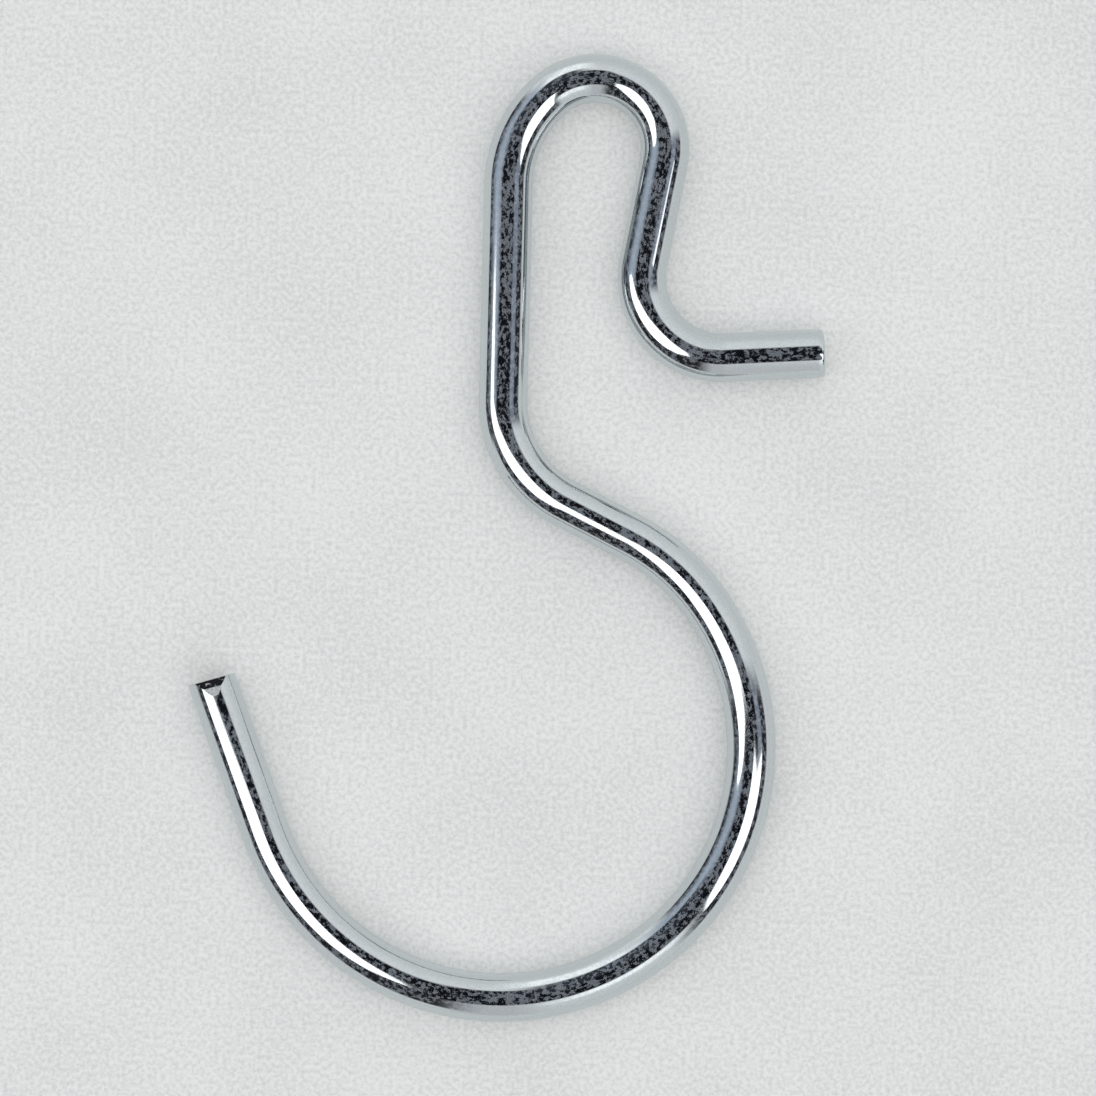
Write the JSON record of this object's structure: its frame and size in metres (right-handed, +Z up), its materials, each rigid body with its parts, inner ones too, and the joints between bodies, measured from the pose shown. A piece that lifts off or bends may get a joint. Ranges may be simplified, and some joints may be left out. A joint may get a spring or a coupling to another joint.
{
  "type": "curtain hook",
  "caption": "Bent-wire curtain hook: an open round hook for the rail, a straight shank, a narrow loop for the curtain and a short sideways catch.",
  "frame": {"origin": "on the centre line of the round rail that the hook hangs over, in the plane that the hook lies on", "axes": "+Y runs along the straight shank from the rail to the eyelet loop; +Z is up off the surface that the hook lies on, along the rail; +X is the side that the catch points to"},
  "size_m": [0.0388, 0.0597, 0.003],
  "materials": {
    "zinc_wire": "bright zinc plating on steel wire, finely speckled, with bare sheared steel at the nipped tip"
  },
  "bodies": {
    "root": {"curtain_hook": "zinc_wire"}
  },
  "joints": []
}
